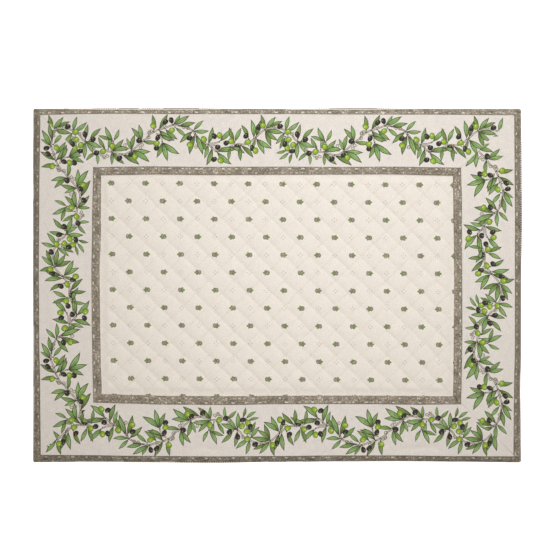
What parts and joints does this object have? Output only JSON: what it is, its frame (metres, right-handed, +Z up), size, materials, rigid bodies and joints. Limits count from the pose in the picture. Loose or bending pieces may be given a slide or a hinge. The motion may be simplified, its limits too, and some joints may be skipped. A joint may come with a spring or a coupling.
{
  "type": "quilted fabric placemat",
  "caption": "Rectangular cotton placemat lying flat: a diamond-quilted, sprig-printed centre in a wide mitred border with an olive garland print.",
  "frame": {"origin": "middle of the underside, on the table", "axes": "+X along the long side to the right as laid, +Y along the short side away from the diner, +Z up out of the printed face"},
  "size_m": [0.4799, 0.3486, 0.0029],
  "materials": {
    "quilted_cotton": "cream cotton printed with small sprigs, quilted in diamonds, matt",
    "border_cotton": "cream cotton printed with an olive garland and taupe bands, matt"
  },
  "bodies": {
    "root": {"quilted_center": "quilted_cotton", "border_top": "border_cotton", "border_bottom": "border_cotton", "border_left": "border_cotton", "border_right": "border_cotton"}
  },
  "joints": []
}
